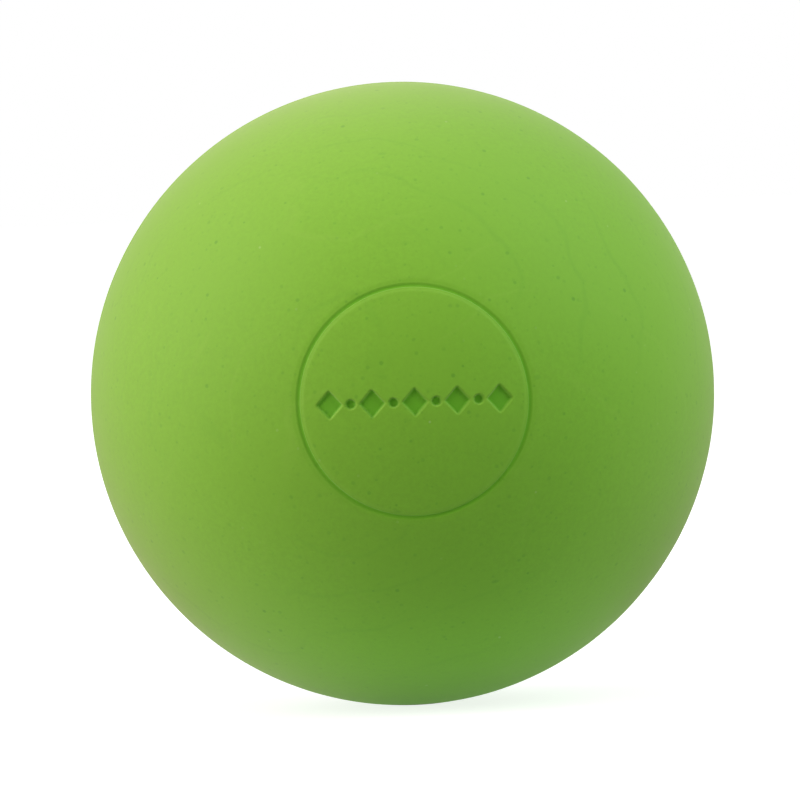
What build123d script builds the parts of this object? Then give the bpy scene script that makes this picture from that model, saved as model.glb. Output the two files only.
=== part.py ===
from build123d import *

import os
from math import asin, cos, degrees

# Lacrosse ball: a solid rubber core under a rubber cover that is pressed on in two halves.
# Millimetres, +Z up, origin at the ball's centre. The badge faces -Y, and the two halves of the
# cover meet on the plane Y = 0.

# Ball and cover
ball_diameter = 63.5
cover_thickness = 4.0

# Trimmed land: the low band on either side of the parting plane, where the flash was cut off
land_width = 1.6
land_height = 0.06

# Badge ring: a groove with a steep inner wall and a sloping outer wall, measured along the surface
ring_diameter = 22.75
ring_floor_width = 0.10
ring_depth = 0.16
ring_inner_run = 0.15
ring_outer_run = 0.28

# Badge band: a row of sunk lozenges, with a round pellet in each gap
lozenge_width = 2.5
lozenge_height = 2.8
lozenge_pitch = 4.2
pellet_diameter = 0.9
band_depth = 0.34
band_margin = 1.2

# How far a cutter stands clear of the surface that it cuts
cutter_clearance = 1.0

ball_radius = ball_diameter / 2
core_radius = ball_radius - cover_thickness
land_radius = ball_radius + land_height
cutter_radius = land_radius + cutter_clearance

# The ring's place on the half section: its angle from the badge's axis, and the groove's corners,
# across the surface from the inner lip to the outer lip
ring_angle = asin(ring_diameter / 2 / ball_radius)
ring_inner_foot = -ring_floor_width / 2
ring_outer_foot = ring_floor_width / 2
ring_inner_lip = ring_inner_foot - ring_inner_run
ring_outer_lip = ring_outer_foot + ring_outer_run

# The band fills the room inside the ring with as many lozenges as fit on each side of the middle one
band_room = ring_diameter / 2 + ring_inner_lip * cos(ring_angle) - band_margin - lozenge_width / 2
lozenges_each_side = int(band_room / lozenge_pitch)
lozenge_count = 2 * lozenges_each_side + 1
pellet_count = 2 * lozenges_each_side


# Core
with BuildPart() as core:
    Sphere(core_radius)
core.part.label = "core"


# Cutter for the badge band: straight walls along the badge's axis, over a floor that keeps its depth
with BuildPart() as band_cutter:
    with BuildSketch(Plane.XZ.offset(core_radius)):
        with GridLocations(lozenge_pitch, 0, lozenge_count, 1):
            Polygon(
                (lozenge_width / 2, 0),
                (0, lozenge_height / 2),
                (-lozenge_width / 2, 0),
                (0, -lozenge_height / 2),
            )
        with GridLocations(lozenge_pitch, 0, pellet_count, 1):
            Circle(pellet_diameter / 2)
    extrude(amount=cutter_radius - core_radius)
    Sphere(ball_radius - band_depth, mode=Mode.SUBTRACT)


# Front half of the cover, with the badge
with BuildPart() as front_cover:
    with BuildSketch(Plane.XY):
        Circle(ball_radius)
        Rectangle(2 * land_radius, land_width)
        Circle(core_radius, mode=Mode.SUBTRACT)
        Rectangle(
            cutter_radius,
            cutter_radius,
            align=(Align.MIN, Align.MAX),
            mode=Mode.INTERSECT,
        )
        Polygon(
            (ring_inner_lip, -ball_radius - cutter_clearance),
            (ring_inner_lip, -ball_radius),
            (ring_inner_foot, ring_depth - ball_radius),
            (ring_outer_foot, ring_depth - ball_radius),
            (ring_outer_lip, -ball_radius),
            (ring_outer_lip, -ball_radius - cutter_clearance),
            rotation=degrees(ring_angle),
            mode=Mode.SUBTRACT,
        )
    revolve(axis=Axis.Y)
    add(band_cutter.part, mode=Mode.SUBTRACT)
front_cover.part.label = "front_cover"


# Back half of the cover, plain
with BuildPart() as back_cover:
    with BuildSketch(Plane.XY):
        Circle(ball_radius)
        Rectangle(2 * land_radius, land_width)
        Circle(core_radius, mode=Mode.SUBTRACT)
        Rectangle(
            cutter_radius,
            cutter_radius,
            align=(Align.MIN, Align.MIN),
            mode=Mode.INTERSECT,
        )
    revolve(axis=Axis.Y)
back_cover.part.label = "back_cover"


os.makedirs("parts", exist_ok=True)
export_step(core.part, "parts/core.step")
export_step(front_cover.part, "parts/front_cover.step")
export_step(back_cover.part, "parts/back_cover.step")
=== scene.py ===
"""A moulded rubber lacrosse ball in a small studio.

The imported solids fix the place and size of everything. Each half of the cover is built again here
as one fine closed surface, so that the badge has rounded edges and the trimmed seam runs a little
uneven. The core keeps its own solid. Sizes in the classes are millimetres, and a mesh is in metres.
"""

import logging
import math
from collections.abc import Callable
from dataclasses import dataclass, field
from enum import Enum

import bpy
import numpy as np
from mathutils import Matrix, Vector


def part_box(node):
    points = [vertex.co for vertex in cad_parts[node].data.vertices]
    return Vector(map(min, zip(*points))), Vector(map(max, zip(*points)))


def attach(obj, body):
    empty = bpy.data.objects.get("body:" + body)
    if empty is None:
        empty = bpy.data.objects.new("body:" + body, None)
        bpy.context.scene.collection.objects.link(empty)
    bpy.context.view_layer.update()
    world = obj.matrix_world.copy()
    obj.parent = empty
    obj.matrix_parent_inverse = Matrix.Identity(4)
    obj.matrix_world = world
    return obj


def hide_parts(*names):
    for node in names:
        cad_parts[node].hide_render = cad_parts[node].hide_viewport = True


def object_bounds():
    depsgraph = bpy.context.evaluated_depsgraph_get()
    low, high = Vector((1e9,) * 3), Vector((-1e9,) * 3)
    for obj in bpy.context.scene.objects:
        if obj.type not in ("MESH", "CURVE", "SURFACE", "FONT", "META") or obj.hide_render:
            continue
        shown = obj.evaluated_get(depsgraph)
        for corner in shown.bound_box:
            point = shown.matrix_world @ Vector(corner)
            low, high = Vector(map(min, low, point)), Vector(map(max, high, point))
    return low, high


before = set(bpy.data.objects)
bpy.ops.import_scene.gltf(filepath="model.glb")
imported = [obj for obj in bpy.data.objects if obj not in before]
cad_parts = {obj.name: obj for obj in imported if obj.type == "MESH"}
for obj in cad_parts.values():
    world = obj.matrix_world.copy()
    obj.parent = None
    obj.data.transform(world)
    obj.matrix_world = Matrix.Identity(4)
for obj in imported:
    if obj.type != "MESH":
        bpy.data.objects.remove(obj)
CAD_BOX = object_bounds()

MM = 0.001
SEED = 63
FINE_STEPS = 40001

log = logging.getLogger("lacrosse_ball")

Array = np.ndarray
Triple = tuple[float, float, float]
Colour = Triple
Socket = bpy.types.NodeSocket
Sockets = dict[str, Socket]
Inputs = dict[int | str, object]

WHITE: Colour = (1.0, 1.0, 1.0)
UNIT: Triple = (1.0, 1.0, 1.0)
UNTURNED: Triple = (0.0, 0.0, 0.0)


class Side(Enum):
    """The half of the cover, by the sign of Y at its pole."""

    FRONT = -1.0
    BACK = 1.0


# Shape helpers


def ramp(value: Array, start: float | Array, end: float | Array) -> Array:
    """Rise smoothly from 0 to 1: 3t^2 - 2t^3, where t is the clipped share of the way from start to end.

    Args:
        value: where to read the ramp.
        start: the value at which it leaves 0.
        end: the value at which it reaches 1.

    Returns:
        The ramp's height at each value.
    """
    share = np.clip((value - start) / (end - start), 0.0, 1.0)
    return share * share * (3.0 - 2.0 * share)


def swell(value: Array, centre: float, width: float) -> Array:
    """Give a bell curve: e to the minus squared distance from its centre, in widths.

    Args:
        value: where to read the bell.
        centre: its middle.
        width: the distance at which it has fallen to 37%.

    Returns:
        The bell's height, 1 at its middle.
    """
    return np.exp(-(((value - centre) / width) ** 2))


def wander(turn: Array, waves: range, rng: np.random.Generator) -> Array:
    """Give an uneven closed line around the ball: a sum of cosines of whole multiples of the turn.

    Args:
        turn: the angle around the ball's badge axis.
        waves: the multiples that take part.
        rng: draws each cosine's strength and phase.

    Returns:
        A wobble of about -1 to 1 at each angle.
    """
    orders = np.array(waves, dtype=float)
    strength = rng.normal(size=orders.size) / np.sqrt(orders.size)
    phase = rng.uniform(0.0, 2.0 * np.pi, orders.size)
    return (strength * np.cos(turn[..., None] * orders + phase)).sum(-1)


def spaced(spacing: Callable[[Array], Array], end: float) -> Array:
    """Place rows along a line so that their gaps follow a wanted spacing.

    The count of rows up to a place is the running total of 1 / spacing. Equal shares of that
    total, read back to their places, give the rows.

    Args:
        spacing: the wanted gap at each place.
        end: where the line ends. It starts at 0.

    Returns:
        The rows' places, from 0 to end.
    """
    fine = np.linspace(0.0, end, FINE_STEPS)
    density = 1.0 / spacing(fine)
    total = np.concatenate([[0.0], np.cumsum((density[1:] + density[:-1]) / 2.0 * np.diff(fine))])
    return np.interp(np.linspace(0.0, total[-1], int(round(total[-1])) + 1), total, fine)


# The badge and the seam


@dataclass(frozen=True)
class BadgeRing:
    """The groove around the badge, with a steep inner wall and a sloping outer wall."""

    diameter: float = 22.75
    depth: float = 0.16
    floor_width: float = 0.14
    inner_run: float = 0.07
    outer_run: float = 0.33
    edge_run: float = 0.45
    edge_depth: float = 0.05
    shoulder_run: float = 0.50
    shoulder_depth: float = 0.045
    lip_highlight_share: float = 0.6
    lip_highlight_width: float = 0.12
    unevenness: float = 0.06
    waves: range = range(1, 9)

    def heights(self, across: Array, turn: Array, rng: np.random.Generator) -> Array:
        """Give the surface's rise along the ring.

        The floor lies a depth below the ball. A steep ramp brings the inside up to its rounded edge,
        and a sloping one the outside up to its shoulder. A longer ramp leads on from each to the ball.

        Args:
            across: distance outwards from the middle of the groove.
            turn: angle around the badge.
            rng: draws the groove's unevenness.

        Returns:
            The height above the plain ball, in millimetres.
        """
        half = self.floor_width / 2.0
        depth = self.depth * (1.0 + self.unevenness * wander(turn, self.waves, rng))
        shoulder = self.shoulder_depth * (1.0 + self.unevenness * wander(turn, self.waves, rng))
        inner_end = -half - self.inner_run
        inner = (depth - self.edge_depth) * ramp(across, -half, inner_end)
        edge_start = inner_end + self.inner_run / 2.0
        inner = inner + self.edge_depth * ramp(across, edge_start, inner_end - self.edge_run)
        outer_end = half + self.outer_run
        outer = (depth - shoulder) * ramp(across, half, outer_end)
        shoulder_start = outer_end - self.outer_run / 2.0
        outer = outer + shoulder * ramp(across, shoulder_start, outer_end + self.shoulder_run)
        return np.maximum(inner, outer) - depth

    def lip_highlights(self, across: Array) -> Array:
        """Give a mask of the groove's two edges: a bell along each, the outer one weaker. The material
        paints a highlight along them.

        Args:
            across: distance outwards from the middle of the groove.

        Returns:
            The mask, 1 along the inner edge.
        """
        half = self.floor_width / 2.0
        inner = swell(across, -half - self.inner_run - self.edge_run / 2.0, self.edge_run / 2.0)
        return np.maximum(inner, self.lip_highlight_share * swell(across, half + self.outer_run, self.lip_highlight_width))


@dataclass(frozen=True)
class BadgeBand:
    """A row of sunk lozenges across the badge, with a round pellet in each gap."""

    count: int = 5
    pitch: float = 4.2
    width: float = 2.5
    height: float = 2.8
    corner: float = 0.16
    pellet_diameter: float = 0.9
    depth: float = 0.34
    wall_run: float = 0.24
    lip_highlight_width: float = 0.09

    def distances(self, along: Array, up: Array) -> Array:
        """Give the distance to the nearest outline, negative inside a lozenge or pellet.

        A lozenge is where |x| / a + |y| / b is under 1, with its corners rounded by drawing a
        smaller one and growing it. Places along the row are first folded into one pitch.

        Args:
            along: distance along the row from its middle.
            up: distance above the row's middle line.

        Returns:
            The signed distance in millimetres.
        """
        reach = (self.count - 1) / 2
        nearest = np.clip(np.round(along / self.pitch), -reach, reach)
        side = np.abs(along - nearest * self.pitch)
        slope = math.hypot(self.width, self.height)
        shrink = self.corner * slope / (self.width * self.height) * 2.0
        half_width = self.width / 2.0 * (1.0 - shrink)
        half_height = self.height / 2.0 * (1.0 - shrink)
        rise = np.abs(up)
        edge = np.hypot(half_width, half_height)
        share = np.clip((half_width * (half_width - side) + half_height * rise) / edge**2, 0.0, 1.0)
        to_edge = np.hypot(side - half_width * (1.0 - share), rise - half_height * share)
        inside = side / half_width + rise / half_height < 1.0
        lozenge = np.where(inside, -to_edge, to_edge) - self.corner

        gap_reach = reach - 0.5
        gap = np.clip(np.floor(along / self.pitch) + 0.5, -gap_reach, gap_reach)
        pellet = np.hypot(along - gap * self.pitch, rise) - self.pellet_diameter / 2.0
        return np.minimum(lozenge, pellet)

    def heights(self, distance: Array) -> Array:
        """Sink the surface by the depth, on a smooth wall centred on the outline.

        Args:
            distance: signed distance to the nearest outline.

        Returns:
            The height in millimetres.
        """
        return -self.depth * ramp(distance, self.wall_run / 2.0, -self.wall_run / 2.0)

    def lip_highlights(self, distance: Array) -> Array:
        """Give a mask of each sunk shape's top edge, where the material paints a highlight.

        Args:
            distance: signed distance to the nearest outline.

        Returns:
            The mask, 1 along the edge.
        """
        return swell(distance, self.wall_run / 2.0, self.lip_highlight_width)


@dataclass(frozen=True)
class SeamLand:
    """The low band beside the parting plane, where the flash was trimmed off."""

    width: float = 1.6
    height: float = 0.06
    edge_run: float = 0.16
    unevenness: float = 0.10
    corner: float = 0.05
    waves: range = range(2, 60)

    def shares(self, edge: Array, turn: Array, rng: np.random.Generator) -> Array:
        """Give how much of the land stands at each place: 1 on it, 0 off it, with an uneven edge.

        Args:
            edge: distance from the parting plane along the surface.
            turn: angle around the ball.
            rng: draws the uneven edge.

        Returns:
            A mask from 0 to 1.
        """
        reach = self.width / 2.0 + self.unevenness * wander(turn, self.waves, rng)
        return ramp(edge, reach + self.edge_run / 2.0, reach - self.edge_run / 2.0)

    def corners(self, edge: Array) -> Array:
        """Round the edge at the parting plane by a quarter circle of the corner's radius.

        Args:
            edge: distance from the parting plane along the surface.

        Returns:
            The height in millimetres, 0 away from the edge.
        """
        short = np.clip(self.corner - edge, 0.0, self.corner)
        return np.sqrt(self.corner**2 - short**2) - self.corner


@dataclass(frozen=True)
class Waviness:
    """The faint unevenness of a moulded surface: a sum of plane waves in random directions."""

    count: int = 24
    shortest: float = 5.0
    longest: float = 16.0
    height: float = 0.012

    def heights(self, points: Array, rng: np.random.Generator) -> Array:
        """Add sines of each point's distance along a random direction.

        Args:
            points: places on the plain ball, in millimetres.
            rng: draws the directions, lengths and phases.

        Returns:
            The height in millimetres.
        """
        ways = rng.normal(size=(self.count, 3))
        ways /= np.linalg.norm(ways, axis=1, keepdims=True)
        lengths = rng.uniform(self.shortest, self.longest, self.count)
        phases = rng.uniform(0.0, 2.0 * np.pi, self.count)
        waves = np.sin(points @ (ways * (2.0 * np.pi / lengths)[:, None]).T + phases)
        return waves.sum(-1) * self.height / math.sqrt(self.count)


# Meshes


def closed_grid(name: str, rows: Array, poles: Array, turned: bool) -> bpy.types.Mesh:
    """Write rows of points that close around an axis, capped by a point at each end.

    Quads join each row to the next, and the last column to the first.
    A fan of triangles joins the first and last rows to their poles.

    Args:
        name: the mesh's name.
        rows: points as rows by columns by 3, in millimetres.
        poles: the first and last cap's points.
        turned: whether to write the faces the other way round, to point outwards.

    Returns:
        The mesh, smooth shaded, in metres.
    """
    points = np.concatenate([rows.reshape(-1, 3), poles]) * MM
    here = np.arange(rows[..., 0].size).reshape(rows.shape[:2])
    beside = np.roll(here, -1, axis=1)
    quads = np.stack([here[:-1], beside[:-1], beside[1:], here[1:]], -1).reshape(-1, 4)
    first = np.stack([np.full_like(here[0], here.size), beside[0], here[0]], -1)
    last = np.stack([np.full_like(here[0], here.size + 1), here[-1], beside[-1]], -1)
    fans = np.concatenate([first, last])
    if turned:
        quads, fans = quads[:, ::-1], fans[:, ::-1]
    corners = np.concatenate([quads.ravel(), fans.ravel()])
    sizes = np.concatenate([np.full(len(quads), 4), np.full(len(fans), 3)])
    starts = np.concatenate([[0], np.cumsum(sizes)[:-1]])

    mesh = bpy.data.meshes.new(name)
    mesh.vertices.add(len(points))
    mesh.vertices.foreach_set("co", points.ravel())
    mesh.loops.add(len(corners))
    mesh.loops.foreach_set("vertex_index", corners.astype(np.int32))
    mesh.polygons.add(len(sizes))
    mesh.polygons.foreach_set("loop_start", starts.astype(np.int32))
    mesh.polygons.foreach_set("use_smooth", np.ones(len(sizes), dtype=bool))
    mesh.update(calc_edges=True)
    mesh.validate()
    return mesh


def add_mask(mesh: bpy.types.Mesh, name: str, rows: Array, pole_values: tuple[float, float]) -> None:
    """Keep a mask on the mesh's points, for its material to read.

    Args:
        mesh: a mesh from closed_grid.
        name: the mask's name.
        rows: the mask as rows by columns.
        pole_values: its values at the two caps.
    """
    values = np.concatenate([rows.ravel(), pole_values]).astype(np.float32)
    mesh.attributes.new(name, "FLOAT", "POINT").data.foreach_set("value", values)


# Cover and core


@dataclass
class CoverHalf:
    """One half of the cover: a closed shell from its pole to the parting plane and back inside."""

    side: Side
    ball_radius: float
    core_radius: float
    ring: BadgeRing | None = None
    band: BadgeBand | None = None
    land: SeamLand = field(default_factory=SeamLand)
    waviness: Waviness = field(default_factory=Waviness)
    columns: int = 352
    gather: float = 0.45
    widest_gap: float = 0.9
    badge_gap: float = 0.108
    groove_gap: float = 0.036
    seam_gap: float = 0.045
    gap_growth: float = 0.14
    groove_reach: float = 0.55
    wall_rows: int = 5
    inner_rows: int = 16

    @property
    def node(self) -> str:
        """Name the solid that the piece stands for.

        Returns:
            Its node's name.
        """
        return f"{self.side.name.lower()}_cover"

    def ring_arc(self) -> float:
        """Measure over the surface from the pole to the middle of the groove.

        Returns:
            The distance in millimetres.
        """
        return self.ball_radius * math.asin(self.ring.diameter / 2.0 / self.ball_radius)

    def row_gap(self, arc: Array) -> Array:
        """Give the wanted gap between rows: fine on the badge and the seam, wide elsewhere.

        Args:
            arc: distance over the surface from the pole.

        Returns:
            The gap in millimetres.
        """
        land_start = self.ball_radius * np.pi / 2.0 - self.land.width / 2.0 - self.land.edge_run
        seam = self.seam_gap + self.gap_growth * np.maximum(land_start - arc, 0.0)
        gap = np.minimum(self.widest_gap, seam)
        if self.ring is None:
            return gap
        away = arc - self.ring_arc()
        groove = self.groove_gap + self.gap_growth * np.maximum(np.abs(away) - self.groove_reach, 0.0)
        return np.minimum(np.minimum(gap, groove), np.where(away < 0.0, self.badge_gap, self.widest_gap))

    def turns(self) -> Array:
        """Space the columns, gathered where the badge's band lies: t - gather / 2 * sin 2t.

        Returns:
            Their angles around the pole.
        """
        even = np.linspace(0.0, 2.0 * np.pi, self.columns, endpoint=False)
        return even - self.gather / 2.0 * np.sin(2.0 * even)

    def directions(self, polar: Array, turn: Array) -> Array:
        """Give unit directions from the ball's centre.

        Args:
            polar: angle from the half's pole.
            turn: angle around it, from +X towards +Z.

        Returns:
            The directions, with X, Y and Z last.
        """
        flat = np.sin(polar)
        depth = np.broadcast_to(self.side.value * np.cos(polar), np.broadcast(polar, turn).shape)
        return np.stack([flat * np.cos(turn), depth, flat * np.sin(turn)], -1)

    def build(self, rng: np.random.Generator) -> bpy.types.Object:
        """Build the half as one closed surface of polar angle and turn.

        The outside is the ball's radius plus the heights of the waviness, the land and the badge.
        From its edge a flat wall runs in along the parting plane, and the inside is the core's sphere.

        Args:
            rng: draws what is uneven.

        Returns:
            The piece, at the origin.
        """
        end = self.ball_radius * np.pi / 2.0
        arcs = spaced(self.row_gap, end)[1:, None]
        turn = self.turns()[None, :]
        outward = self.directions(arcs / self.ball_radius, turn)
        plain = outward * self.ball_radius
        edge = end - arcs

        land = self.land.shares(edge, turn, rng)
        heights = self.land.height * land + self.land.corners(edge)
        still = ramp(edge, 0.0, self.land.width)
        heights = heights + still * self.waviness.heights(plain, rng)
        groove_mask = band_mask = lip_highlights = np.zeros_like(heights)
        pole_height = 0.0
        if self.ring is not None:
            across = arcs - self.ring_arc()
            groove = self.ring.heights(across, turn, rng)
            heights = heights + groove
            groove_mask = np.clip(-groove / self.ring.depth, 0.0, 1.0)
            lip_highlights = np.maximum(lip_highlights, self.ring.lip_highlights(across) * np.ones_like(turn))
        if self.band is not None:
            distance = self.band.distances(plain[..., 0], plain[..., 2])
            sunk = self.band.heights(distance)
            heights = heights + sunk
            band_mask = -sunk / self.band.depth
            lip_highlights = np.maximum(lip_highlights, self.band.lip_highlights(distance))
            pole_height = -self.band.depth

        outside = outward * (self.ball_radius + heights)[..., None]
        rim = outward[-1] * np.array([1.0, 0.0, 1.0])
        share = np.linspace(0.0, 1.0, self.wall_rows + 2)[1:-1, None, None]
        rim_radius = (self.ball_radius + heights)[-1][None, :, None]
        wall = rim[None] * (rim_radius + share * (self.core_radius - rim_radius))
        back = np.linspace(np.pi / 2.0, 0.0, self.inner_rows, endpoint=False)[:, None]
        inside = self.directions(back, turn) * self.core_radius
        rows = np.concatenate([outside, wall, inside])
        pole = np.array([0.0, self.side.value, 0.0])
        poles = np.stack([pole * (self.ball_radius + pole_height), pole * self.core_radius])

        mesh = closed_grid(f"{self.node}_skin", rows, poles, turned=self.side is Side.BACK)
        hidden = np.zeros((len(rows) - len(outside), self.columns))
        # The groove and band masks follow the recesses' depth and carry the material's painted shade there;
        # the lip mask carries its painted highlight along their edges.
        for mask, values, at_pole in (
            ("groove", groove_mask, 0.0),
            ("band", band_mask, band_mask[0].max()),
            ("lip_highlight", lip_highlights, 0.0),
            ("land", land, 0.0),
        ):
            add_mask(mesh, mask, np.concatenate([values, hidden]), (at_pole, 0.0))
        piece = bpy.data.objects.new(mesh.name, mesh)
        bpy.context.collection.objects.link(piece)
        return piece

    def dress(self, piece: bpy.types.Object, material: bpy.types.Material) -> None:
        """Give the piece its material, slot and body, and let it stand for its solid.

        Args:
            piece: the built half.
            material: the cover's rubber.
        """
        piece.data.materials.append(material)
        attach(piece, "root")
        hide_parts(self.node)


@dataclass
class Core:
    """The solid middle of the ball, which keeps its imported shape."""

    node: str = "core"

    def dress(self, material: bpy.types.Material) -> bpy.types.Object:
        """Put the core's rubber on its solid.

        Args:
            material: the core's material.

        Returns:
            The dressed object.
        """
        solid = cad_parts[self.node]
        solid.data.materials.clear()
        solid.data.materials.append(material)
        return solid


# Shader nodes


class NodeSheet:
    """Adds nodes to one node tree and joins them up."""

    MIX_INPUTS = (0, 6, 7)
    MIX_RESULT = 2

    def __init__(self, tree: bpy.types.NodeTree) -> None:
        """Start from an empty tree.

        Args:
            tree: the tree to fill.
        """
        self.tree = tree
        tree.nodes.clear()

    def add(self, kind: str, inputs: Inputs | None = None, **settings: object) -> bpy.types.Node:
        """Add a node, set its properties and fill its inputs.

        Args:
            kind: the node's type, without the leading ShaderNode.
            inputs: its inputs by name or number.
            settings: its properties by name.

        Returns:
            The node.
        """
        node = self.tree.nodes.new(kind if kind.startswith("Node") else f"ShaderNode{kind}")
        for name, value in settings.items():
            setattr(node, name, value)
        for key, value in (inputs or {}).items():
            self.feed(node.inputs[key], value)
        return node

    def feed(self, socket: Socket, value: object) -> None:
        """Join a socket to an input, or set the input to a number or colour.

        Args:
            socket: the input.
            value: what it gets.
        """
        if isinstance(value, bpy.types.NodeSocket):
            self.tree.links.new(value, socket)
        elif isinstance(value, tuple) and socket.type == "RGBA":
            socket.default_value = (*value, 1.0)
        else:
            socket.default_value = value

    def maths(self, operation: str, first: object, second: object = 0.0) -> Socket:
        """Work out one number from two.

        Args:
            operation: the Math node's operation.
            first: a socket or number.
            second: another.

        Returns:
            The result.
        """
        return self.add("Math", {0: first, 1: second}, operation=operation).outputs[0]

    def mix(self, share: object, first: object, second: object) -> Socket:
        """Blend two colours.

        Args:
            share: how much of the second shows.
            first: a colour or socket.
            second: another.

        Returns:
            The blended colour.
        """
        inputs = dict(zip(self.MIX_INPUTS, (share, first, second)))
        return self.add("Mix", inputs, data_type="RGBA").outputs[self.MIX_RESULT]

    def remap(
        self, value: Socket, start: object, end: object, low: float = 0.0, high: float = 1.0
    ) -> Socket:
        """Map a stretch of a value smoothly to another, clipped at both ends.

        Args:
            value: what is mapped.
            start: where the stretch starts.
            end: where it ends.
            low: the result at its start.
            high: the result at its end.

        Returns:
            The mapped value.
        """
        names = ("Value", "From Min", "From Max", "To Min", "To Max")
        inputs = dict(zip(names, (value, start, end, low, high)))
        return self.add("MapRange", inputs, interpolation_type="SMOOTHSTEP").outputs["Result"]

    def noise(
        self, place: Socket, scale: object, detail: float, rough: float = 0.5, twist: float = 0.0
    ) -> Socket:
        """Read fractal noise.

        Args:
            place: the coordinates.
            scale: features to the metre.
            detail: octaves of finer noise.
            rough: how strong each finer octave is.
            twist: how far the noise bends itself.

        Returns:
            The noise, around 0.5.
        """
        names = ("Vector", "Scale", "Detail", "Roughness", "Distortion")
        inputs = dict(zip(names, (place, scale, detail, rough, twist)))
        return self.add("TexNoise", inputs).outputs["Fac"]

    def stretch(self, place: Socket, scale: Triple = UNIT, turn: Triple = UNTURNED) -> Socket:
        """Turn and stretch coordinates.

        Args:
            place: the coordinates.
            scale: the factor along each axis.
            turn: the angles about each axis, in radians.

        Returns:
            The new coordinates.
        """
        return self.add("Mapping", {"Vector": place, "Scale": scale, "Rotation": turn}).outputs["Vector"]

    def group(self, tree: bpy.types.NodeTree, **inputs: object) -> bpy.types.Node:
        """Place a node group and fill its inputs.

        Args:
            tree: the group.
            inputs: its inputs by name, with _ for each space.

        Returns:
            The group's node.
        """
        named = {name.replace("_", " "): value for name, value in inputs.items()}
        return self.add("Group", named, node_tree=tree)


def new_group(
    name: str, inputs: tuple[str, ...], outputs: tuple[str, ...]
) -> tuple[NodeSheet, Sockets, Sockets]:
    """Start a node group whose first input is a place, and the rest plain values.

    Args:
        name: the group's name.
        inputs: the names of its value inputs.
        outputs: the names of its value outputs.

    Returns:
        Its sheet, its input sockets by name, and its output sockets by name.
    """
    tree = bpy.data.node_groups.new(name, "ShaderNodeTree")
    tree.interface.new_socket(name="Place", in_out="INPUT", socket_type="NodeSocketVector")
    for way, titles in (("INPUT", inputs), ("OUTPUT", outputs)):
        for title in titles:
            tree.interface.new_socket(name=title, in_out=way, socket_type="NodeSocketFloat")
    sheet = NodeSheet(tree)
    source = sheet.add("NodeGroupInput")
    result = sheet.add("NodeGroupOutput")
    return sheet, dict(source.outputs.items()), dict(result.inputs.items())


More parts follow.
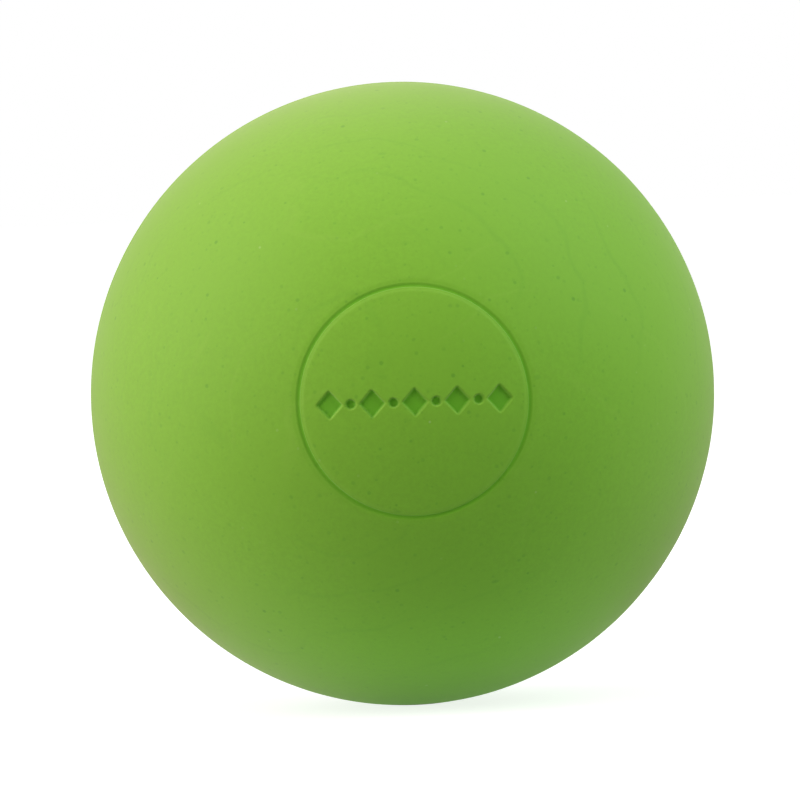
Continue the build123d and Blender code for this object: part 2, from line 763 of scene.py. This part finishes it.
@dataclass
class RubberEffects:
    """The node groups that the rubbers share, each built once."""

    noise_range: tuple[float, float] = (0.3, 0.7)
    cloud_detail: float = 4.0
    cloud_rough: float = 0.75
    drift_detail: float = 1.0
    drift_twist: float = 0.3
    speck_core: float = 0.45
    speck_limit: float = 0.40
    grain_detail: float = 2.0
    grain_rough: float = 0.6
    peel_detail: float = 1.0
    line_detail: float = 4.0
    line_sway: float = 6.0
    line_shown: tuple[float, float] = (0.44, 0.64)

    def __post_init__(self) -> None:
        """Build every group."""
        self.clouds = self.build_clouds()
        self.specks = self.build_specks()
        self.grain = self.build_grain()
        self.lines = self.build_lines()

    def build_clouds(self) -> bpy.types.NodeTree:
        """Build the compound's uneven mixing: fine clouds, and a slow drift over the whole ball.

        Returns:
            The group.
        """
        titles = ("Cloud Scale", "Drift Scale")
        sheet, given, result = new_group("Rubber Clouds", titles, ("Clouds", "Drift"))
        clouds = sheet.noise(given["Place"], given["Cloud Scale"], self.cloud_detail, self.cloud_rough)
        drift = sheet.noise(given["Place"], given["Drift Scale"], self.drift_detail, twist=self.drift_twist)
        sheet.feed(result["Clouds"], sheet.remap(clouds, *self.noise_range))
        sheet.feed(result["Drift"], sheet.remap(drift, *self.noise_range))
        return sheet.tree

    def build_specks(self) -> bpy.types.NodeTree:
        """Build scattered grains: balls around random points, where the surface cuts them.

        A share of them is kept by lot. Their strengths are the mean times minus the logarithm of
        another lot, up to a limit, so that most are faint and a few are clear.

        Returns:
            The group.
        """
        sheet, given, result = new_group("Rubber Specks", ("Scale", "Radius", "Share", "Mean"), ("Specks",))
        cells = sheet.add("TexVoronoi", {"Vector": given["Place"], "Scale": given["Scale"]}, feature="F1")
        core = sheet.maths("MULTIPLY", given["Radius"], self.speck_core)
        grain = sheet.remap(cells.outputs["Distance"], given["Radius"], core)
        lot = sheet.add("SeparateColor", {"Color": cells.outputs["Color"]})
        kept = sheet.maths("LESS_THAN", lot.outputs["Red"], given["Share"])
        fading = sheet.maths("ABSOLUTE", sheet.maths("LOGARITHM", lot.outputs["Green"], math.e))
        strength = sheet.maths("MULTIPLY", fading, given["Mean"])
        strength = sheet.maths("MINIMUM", strength, self.speck_limit)
        shown = sheet.maths("MULTIPLY", grain, kept)
        sheet.feed(result["Specks"], sheet.maths("MULTIPLY", shown, strength))
        return sheet.tree

    def build_grain(self) -> bpy.types.NodeTree:
        """Build the mould's fine texture: a tight grain over a broader peel.

        Returns:
            The group.
        """
        titles = ("Grain Scale", "Peel Scale", "Peel Share")
        sheet, given, result = new_group("Mould Grain", titles, ("Height",))
        grain = sheet.noise(given["Place"], given["Grain Scale"], self.grain_detail, self.grain_rough)
        peel = sheet.noise(given["Place"], given["Peel Scale"], self.peel_detail)
        share = sheet.maths("MULTIPLY", peel, given["Peel Share"])
        sheet.feed(result["Height"], sheet.maths("ADD", grain, share))
        return sheet.tree

    def build_lines(self) -> bpy.types.NodeTree:
        """Build long thin flow lines: rings about the Y axis, bent by one noise, shown in part by another.

        The angle from the axis, in ring gaps, plus the noise times the sway is cut to its fraction.
        A line lies where that is a half.

        Returns:
            The group.
        """
        titles = ("Rings", "Width", "Bend Scale", "Spread Scale")
        sheet, given, result = new_group("Flow Lines", titles, ("Lines",))
        outward = sheet.add("VectorMath", {0: given["Place"]}, operation="NORMALIZE")
        axes = sheet.add("SeparateXYZ", {0: outward.outputs[0]})
        gaps = sheet.maths("MULTIPLY", sheet.maths("ARCCOSINE", axes.outputs["Y"]), given["Rings"])
        bend = sheet.noise(given["Place"], given["Bend Scale"], self.line_detail)
        swayed = sheet.maths("ADD", gaps, sheet.maths("MULTIPLY", bend, self.line_sway))
        fraction = sheet.maths("FRACT", swayed)
        away = sheet.maths("ABSOLUTE", sheet.maths("SUBTRACT", fraction, 0.5))
        line = sheet.remap(away, given["Width"], 0.0)
        spread = sheet.noise(given["Place"], given["Spread Scale"], self.line_detail)
        shown = sheet.remap(spread, *self.line_shown)
        sheet.feed(result["Lines"], sheet.maths("MULTIPLY", line, shown))
        return sheet.tree


# Finishes


class FinishSheet(NodeSheet):
    """The sheet of one finish, with the shared effects and the object coordinates at hand."""

    def __init__(self, name: str, effects: RubberEffects) -> None:
        """Start a material.

        Args:
            name: the material's name.
            effects: the shared node groups.
        """
        self.material = bpy.data.materials.new(name)
        self.material.use_nodes = True
        super().__init__(self.material.node_tree)
        self.effects = effects
        self.place = self.add("TexCoord").outputs["Object"]

    def shade(self, depth: float, height: Socket, inputs: Inputs) -> bpy.types.Material:
        """Finish the material with a bumped Principled shader.

        Args:
            depth: the bump's depth in millimetres.
            height: the bump's height, in depths.
            inputs: the shader's other inputs by name.

        Returns:
            The material.
        """
        bump = self.add("Bump", {"Distance": depth * MM, "Height": height})
        shader = self.add("BsdfPrincipled", {"Normal": bump.outputs["Normal"], **inputs})
        self.add("OutputMaterial", {"Surface": shader.outputs["BSDF"]})
        return self.material


@dataclass(frozen=True)
class CloudLayer:
    """The uneven mixing of one rubber: features to the metre in its clouds and in its drift."""

    clouds: float
    drift: float

    def masks(self, sheet: FinishSheet) -> Sockets:
        """Place the layer's group.

        Args:
            sheet: where the nodes go.

        Returns:
            The clouds and the drift by name, each from 0 to 1.
        """
        node = sheet.group(
            sheet.effects.clouds, Place=sheet.place, Cloud_Scale=self.clouds, Drift_Scale=self.drift
        )
        return {"clouds": node.outputs["Clouds"], "drift": node.outputs["Drift"]}


@dataclass(frozen=True)
class GrainLayer:
    """The mould's texture on one rubber: features to the metre, the peel's share, and a depth."""

    grain: float
    peel: float
    peel_share: float
    depth: float

    def height(self, sheet: FinishSheet) -> Socket:
        """Place the layer's group.

        Args:
            sheet: where the nodes go.

        Returns:
            The bump's height, in depths.
        """
        node = sheet.group(
            sheet.effects.grain,
            Place=sheet.place,
            Grain_Scale=self.grain,
            Peel_Scale=self.peel,
            Peel_Share=self.peel_share,
        )
        return node.outputs["Height"]


@dataclass(frozen=True)
class SpeckLayer:
    """One layer of specks: cells to the metre, a radius in cells, and how many and how strong they are."""

    scale: float
    radius: float
    share: float
    mean: float
    strength: float = 1.0
    stretch: Triple = UNIT
    turn: Triple = UNTURNED

    def mask(self, sheet: FinishSheet) -> Socket:
        """Place the layer's group.

        Args:
            sheet: where the nodes go.

        Returns:
            How far the specks show, from 0 to 1.
        """
        node = sheet.group(
            sheet.effects.specks,
            Place=sheet.stretch(sheet.place, self.stretch, self.turn),
            Scale=self.scale,
            Radius=self.radius,
            Share=self.share,
            Mean=self.mean,
        )
        return sheet.maths("MULTIPLY", node.outputs["Specks"], self.strength)


@dataclass(frozen=True)
class LineLayer:
    """One layer of flow lines: rings to the radian, a width in ring gaps, and where and how they show."""

    rings: float
    width: float
    bend_scale: float
    spread_scale: float
    strength: float
    turn: Triple = UNTURNED

    def mask(self, sheet: FinishSheet) -> Socket:
        """Place the layer's group.

        Args:
            sheet: where the nodes go.

        Returns:
            How far the lines show, from 0 to 1.
        """
        node = sheet.group(
            sheet.effects.lines,
            Place=sheet.stretch(sheet.place, turn=self.turn),
            Rings=self.rings,
            Width=self.width,
            Bend_Scale=self.bend_scale,
            Spread_Scale=self.spread_scale,
        )
        return sheet.maths("MULTIPLY", node.outputs["Lines"], self.strength)


@dataclass(frozen=True)
class CoverRubber:
    """The coloured outside: matte lime rubber, faintly clouded, specked and lined, with painted shade in the
    badge's recesses and a painted highlight along their edges.
    """

    bright: Colour = (0.194, 0.516, 0.0160)
    deep: Colour = (0.176, 0.468, 0.0128)
    drifted: Colour = (0.186, 0.492, 0.0144)
    speck: Colour = (0.018, 0.245, 0.0003)
    lint: Colour = (0.62, 0.74, 0.40)
    # A lighter green: the land's buffed wear and the rub lines, and also the painted highlight along the
    # badge's edges.
    rub_and_highlight: Colour = (0.29, 0.57, 0.06)
    # Painted shade: a darker, purer green laid in the groove (this colour) and in the band's sunk marks (the
    # next colour), for the light that a tight recess loses.
    sunk: Colour = (0.126, 0.462, 0.0003)
    band_painted_shade: Colour = (0.112, 0.452, 0.0003)
    drift_share: float = 0.6
    land_share: float = 0.22
    # Shares of the painted shade in the recesses and of the painted highlight along their edges.
    recess_shade_share: float = 0.9
    lip_highlight_share: float = 0.10
    mixing: CloudLayer = CloudLayer(1900.0, 55.0)
    # Small dark dots of the speck colour, scattered over the ball.
    dark_dots: SpeckLayer = SpeckLayer(860.0, 0.24, 1.0, 0.090)
    dust: SpeckLayer = SpeckLayer(1700.0, 0.30, 0.6, 0.060)
    flecks: SpeckLayer = SpeckLayer(480.0, 0.15, 0.6, 0.12, 0.6, (0.5, 1.0, 1.0), (0.7, 0.2, 1.3))
    pale: SpeckLayer = SpeckLayer(430.0, 0.08, 0.9, 0.14, 0.6, (1.0, 0.7, 1.0), (0.4, 1.1, 0.2))
    folds: LineLayer = LineLayer(4.0, 0.075, 20.0, 60.0, 0.085, (0.15, 0.0, 0.30))
    rubs: LineLayer = LineLayer(3.0, 0.060, 24.0, 70.0, 0.09, (-0.45, 0.0, -0.20))
    roughness: float = 0.53
    cloud_rough: float = 0.05
    land_rough: float = 0.10
    sunk_rough: float = -0.06
    specular: float = 0.12
    sheen: float = 0.28
    sheen_roughness: float = 0.70
    sheen_tint: Colour = (1.0, 0.66, 0.66)
    texture: GrainLayer = GrainLayer(5200.0, 900.0, 0.8, 0.006)
    buff_scales: Triple = (60.0, 7000.0, 60.0)
    buff_detail: float = 2.0
    buff_share: float = 2.0

    def colour(self, sheet: FinishSheet, masks: Sockets) -> Socket:
        """Mix the rubber's colour: clouds and drift, then the land's wear, painted shade in the badge's
        groove and sunk marks and a painted highlight along their edges, then lines and specks on top.

        Args:
            sheet: where the nodes go.
            masks: the mesh's own masks and the clouds, by name.

        Returns:
            The colour.
        """
        colour = sheet.mix(masks["clouds"], self.deep, self.bright)
        for mask, share, over in (
            ("drift", self.drift_share, self.drifted),
            ("land", self.land_share, self.rub_and_highlight),
            # Painted shade in the groove and the band's marks, strongest where they are deepest.
            ("groove", self.recess_shade_share, self.sunk),
            ("band", self.recess_shade_share, self.band_painted_shade),
            # Painted highlight along the groove's and the marks' edges.
            ("lip_highlight", self.lip_highlight_share, self.rub_and_highlight),
        ):
            colour = sheet.mix(sheet.maths("MULTIPLY", masks[mask], share), colour, over)
        for layer, over in (
            (self.folds, self.speck),
            (self.rubs, self.rub_and_highlight),
            (self.dust, self.speck),
            (self.dark_dots, self.speck),
            (self.flecks, self.speck),
            (self.pale, self.lint),
        ):
            colour = sheet.mix(layer.mask(sheet), colour, over)
        return colour

    def rough(self, sheet: FinishSheet, masks: Sockets) -> Socket:
        """Add up the roughness: the rubber's own, and what the clouds, the land and the badge change.

        Args:
            sheet: where the nodes go.
            masks: the mesh's own masks and the clouds, by name.

        Returns:
            The roughness.
        """
        total: Socket | float = self.roughness
        for mask, change in (
            ("clouds", self.cloud_rough),
            ("land", self.land_rough),
            ("groove", self.sunk_rough),
            ("band", self.sunk_rough),
        ):
            total = sheet.maths("ADD", sheet.maths("MULTIPLY", masks[mask], change), total)
        return total

    def height(self, sheet: FinishSheet, land: Socket) -> Socket:
        """Add up the bump's height: the mould's grain everywhere, and the buffing on the land.

        Args:
            sheet: where the nodes go.
            land: the mask of the trimmed land.

        Returns:
            The height, in grain depths.
        """
        buffed = sheet.noise(sheet.stretch(sheet.place, self.buff_scales), 1.0, self.buff_detail)
        buffing = sheet.maths("MULTIPLY", sheet.maths("MULTIPLY", land, buffed), self.buff_share)
        return sheet.maths("ADD", self.texture.height(sheet), buffing)

    def material(self, effects: RubberEffects) -> bpy.types.Material:
        """Build the cover's material from the shared effects and the masks on its mesh.

        Args:
            effects: the shared node groups.

        Returns:
            The material.
        """
        sheet = FinishSheet("Lime Cover Rubber", effects)
        masks = self.mixing.masks(sheet)
        for name in ("groove", "band", "lip_highlight", "land"):
            kept = sheet.add("Attribute", attribute_type="GEOMETRY", attribute_name=name)
            masks[name] = kept.outputs["Fac"]
        return sheet.shade(
            self.texture.depth,
            self.height(sheet, masks["land"]),
            {
                "Base Color": self.colour(sheet, masks),
                "Roughness": self.rough(sheet, masks),
                "Specular IOR Level": self.specular,
                "Sheen Weight": self.sheen,
                "Sheen Roughness": self.sheen_roughness,
                "Sheen Tint": self.sheen_tint,
            },
        )


@dataclass(frozen=True)
class CoreRubber:
    """The inside stock: duller, rougher rubber with more specks."""

    bright: Colour = (0.26, 0.44, 0.06)
    deep: Colour = (0.20, 0.36, 0.045)
    speck: Colour = (0.07, 0.15, 0.02)
    mixing: CloudLayer = CloudLayer(180.0, 60.0)
    dark: SpeckLayer = SpeckLayer(520.0, 0.14, 0.8, 1.0)
    roughness: float = 0.66
    drift_rough: float = 0.08
    specular: float = 0.30
    texture: GrainLayer = GrainLayer(2600.0, 500.0, 1.2, 0.03)

    def material(self, effects: RubberEffects) -> bpy.types.Material:
        """Build the core's material from the shared effects.

        Args:
            effects: the shared node groups.

        Returns:
            The material.
        """
        sheet = FinishSheet("Core Rubber", effects)
        masks = self.mixing.masks(sheet)
        colour = sheet.mix(masks["clouds"], self.deep, self.bright)
        drifted = sheet.maths("MULTIPLY", masks["drift"], self.drift_rough)
        return sheet.shade(
            self.texture.depth,
            self.texture.height(sheet),
            {
                "Base Color": sheet.mix(self.dark.mask(sheet), colour, self.speck),
                "Roughness": sheet.maths("ADD", drifted, self.roughness),
                "Specular IOR Level": self.specular,
            },
        )


# Studio


def viewpoint(azimuth: float, elevation: float) -> Vector:
    """Give the unit direction from the ball to a viewer, where azimuth 0 faces the badge.

    Args:
        azimuth: degrees around the ball, growing towards +X.
        elevation: degrees above the horizon.

    Returns:
        The direction.
    """
    around, above = math.radians(azimuth), math.radians(elevation)
    flat = math.cos(above)
    return Vector((math.sin(around) * flat, -math.cos(around) * flat, math.sin(above)))


@dataclass(frozen=True)
class SoftBox:
    """One square soft lamp that faces the ball."""

    name: str
    azimuth: float
    elevation: float
    power: float
    side: float = 900.0
    distance: float = 1100.0
    colour: Colour = WHITE

    def build(self) -> bpy.types.Object:
        """Hang the lamp and aim it at the ball's centre.

        Returns:
            The lamp.
        """
        lamp = bpy.data.lights.new(self.name, "AREA")
        lamp.shape = "SQUARE"
        lamp.size = self.side * MM
        lamp.energy = self.power
        lamp.color = self.colour
        box = bpy.data.objects.new(self.name, lamp)
        place = viewpoint(self.azimuth, self.elevation) * self.distance * MM
        box.location = place
        box.rotation_euler = place.to_track_quat("Z", "Y").to_euler()
        box.visible_camera = False
        bpy.context.collection.objects.link(box)
        return box


@dataclass(frozen=True)
class PhotoCamera:
    """The photograph's view: where the ball lies in the frame, and how far the badge is turned from it."""

    azimuth: float = -2.110
    elevation: float = 1.567
    roll: float = 2.4
    distance: float = 800.0
    frame_px: float = 800.0
    ball_px: float = 311.3
    centre_px: tuple[float, float] = (402.8, 393.6)
    sensor: float = 36.0
    clip: tuple[float, float] = (0.01, 100.0)

    def build(self, ball_radius: float) -> bpy.types.Object:
        """Place the camera, with the lens that gives the ball its radius in the frame.

        A sphere's outline has the tangent of its half angle, R / sqrt(D^2 - R^2), and the focal
        length in pixels is the outline's radius in pixels over that.

        Args:
            ball_radius: the ball's radius in millimetres.

        Returns:
            The camera, set as the scene's.
        """
        focal_px = self.ball_px * math.sqrt(self.distance**2 - ball_radius**2) / ball_radius
        lens = bpy.data.cameras.new("photo_camera")
        lens.sensor_width = self.sensor
        lens.lens = self.sensor * focal_px / self.frame_px
        lens.shift_x = (self.frame_px / 2.0 - self.centre_px[0]) / self.frame_px
        lens.shift_y = (self.centre_px[1] - self.frame_px / 2.0) / self.frame_px
        lens.clip_start, lens.clip_end = self.clip
        camera = bpy.data.objects.new("photo_camera", lens)
        back = viewpoint(self.azimuth, self.elevation)
        tilt = Matrix.Rotation(math.radians(-self.roll), 4, "Z")
        facing = back.to_track_quat("Z", "Y").to_matrix().to_4x4()
        camera.matrix_world = Matrix.Translation(back * self.distance * MM) @ facing @ tilt
        bpy.context.collection.objects.link(camera)
        bpy.context.scene.camera = camera
        return camera


@dataclass
class Studio:
    """A pale floor, a white surround, soft lamps and the photograph's camera."""

    floor_height: float
    floor_reach: float = 12000.0
    floor_tone: Colour = (0.38, 0.42, 0.39)
    floor_glow: float = 0.80
    gloss_glow: float = 0.14
    fade_start: float = 90.0
    fade_end: float = 260.0
    surround: Colour = WHITE
    surround_light: float = 0.10
    lamps: tuple[SoftBox, ...] = (
        SoftBox("left_softbox", -80.0, 25.0, 19.0, side=1300.0, colour=(1.0, 0.825, 0.92)),
        SoftBox("top_softbox", 0.0, 85.0, 2.75, colour=(1.0, 0.825, 0.92)),
        SoftBox("right_softbox", 76.0, 40.0, 10.5, side=1100.0, colour=(0.92, 1.0, 0.92)),
    )
    table_power: float = 0.0036
    table_side: float = 60.0
    table_tint: Colour = (0.74, 1.0, 0.74)
    table_lift: float = 0.1
    camera: PhotoCamera = field(default_factory=PhotoCamera)

    @staticmethod
    def shown_white(sheet: NodeSheet, in_gloss: float = 1.0) -> Socket:
        """Give how far a ray shows the background as white: fully from the camera or through glass.

        Args:
            sheet: where the nodes go.
            in_gloss: how far a glossy reflection shows it.

        Returns:
            A share from 0 to 1.
        """
        rays = sheet.add("LightPath").outputs
        seen = sheet.maths("MAXIMUM", rays["Is Camera Ray"], rays["Is Transmission Ray"])
        gloss = sheet.maths("MULTIPLY", rays["Is Glossy Ray"], in_gloss)
        return sheet.maths("MAXIMUM", seen, gloss)

    def build_floor(self) -> bpy.types.Object:
        """Lay a wide pale floor under the ball, which keeps the ball's soft shadow.

        Returns:
            The floor.
        """
        reach, height = self.floor_reach * MM, self.floor_height * MM
        turns = ((-1.0, -1.0), (1.0, -1.0), (1.0, 1.0), (-1.0, 1.0))
        corners = [(reach * x, reach * y, height) for x, y in turns]
        mesh = bpy.data.meshes.new("studio_floor")
        mesh.from_pydata(corners, [], [(0, 1, 2, 3)])
        material = bpy.data.materials.new("Pale Floor")
        material.use_nodes = True
        sheet = NodeSheet(material.node_tree)
        shown = self.shown_white(sheet, self.gloss_glow)
        matte = sheet.add("BsdfDiffuse", {"Color": self.floor_tone})
        away = sheet.add("VectorMath", {0: sheet.add("TexCoord").outputs["Object"]}, operation="LENGTH")
        fade = (self.fade_start * MM, self.fade_end * MM)
        bright = sheet.remap(away.outputs["Value"], *fade, self.floor_glow, 1.0)
        glow = sheet.add("Emission", {"Strength": sheet.maths("MULTIPLY", shown, bright)})
        both = sheet.add("AddShader", {0: matte.outputs["BSDF"], 1: glow.outputs["Emission"]})
        sheet.add("OutputMaterial", {"Surface": both.outputs["Shader"]})
        mesh.materials.append(material)
        floor = bpy.data.objects.new("studio_floor", mesh)
        bpy.context.collection.objects.link(floor)
        return floor

    def build_surround(self) -> bpy.types.World:
        """Make the surround: plain light for the ball, and white where it is seen.

        Returns:
            The world.
        """
        world = bpy.data.worlds.new("white_surround")
        world.use_nodes = True
        sheet = NodeSheet(world.node_tree)
        light = sheet.add("Background", {"Color": self.surround, "Strength": self.surround_light})
        white = sheet.add("Background", {"Color": WHITE})
        shown = (self.shown_white(sheet), light.outputs["Background"], white.outputs["Background"])
        either = sheet.add("MixShader", dict(enumerate(shown)))
        sheet.add("OutputWorld", {"Surface": either.outputs["Shader"]})
        bpy.context.scene.world = world
        return world

    def build(self, ball_radius: float) -> None:
        """Build the floor, the surround, the lamps and the camera, and report each.

        Args:
            ball_radius: the ball's radius in millimetres.
        """
        low = -self.floor_height - self.table_lift
        table = SoftBox("table_softbox", 0.0, -90.0, self.table_power, self.table_side, low, self.table_tint)
        stage = [self.build_floor(), self.build_surround()]
        stage += [lamp.build() for lamp in (*self.lamps, table)]
        stage.append(self.camera.build(ball_radius))
        for thing in stage:
            log.info("%s: stage", thing.name)
        bpy.context.scene.view_settings.view_transform = "Standard"


def main() -> None:
    """Build the cover halves, dress the core and set up the studio."""
    logging.basicConfig(level=logging.INFO, format="%(name)s: %(message)s")
    rng = np.random.default_rng(SEED)
    ball_radius = float(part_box("back_cover")[1][1]) / MM
    core_radius = float(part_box("core")[1][2]) / MM

    effects = RubberEffects()
    cover = CoverRubber().material(effects)
    halves = (
        CoverHalf(Side.FRONT, ball_radius, core_radius, BadgeRing(), BadgeBand()),
        CoverHalf(Side.BACK, ball_radius, core_radius),
    )
    for half in halves:
        piece = half.build(rng)
        half.dress(piece, cover)
        log.info("%s: %d points, %d faces", piece.name, len(piece.data.vertices), len(piece.data.polygons))
    solid = Core().dress(CoreRubber().material(effects))
    log.info("%s: packed solid, new rubber", solid.name)

    Studio(floor_height=float(CAD_BOX[0][2]) / MM).build(ball_radius)


if __name__ == "__main__":
    main()
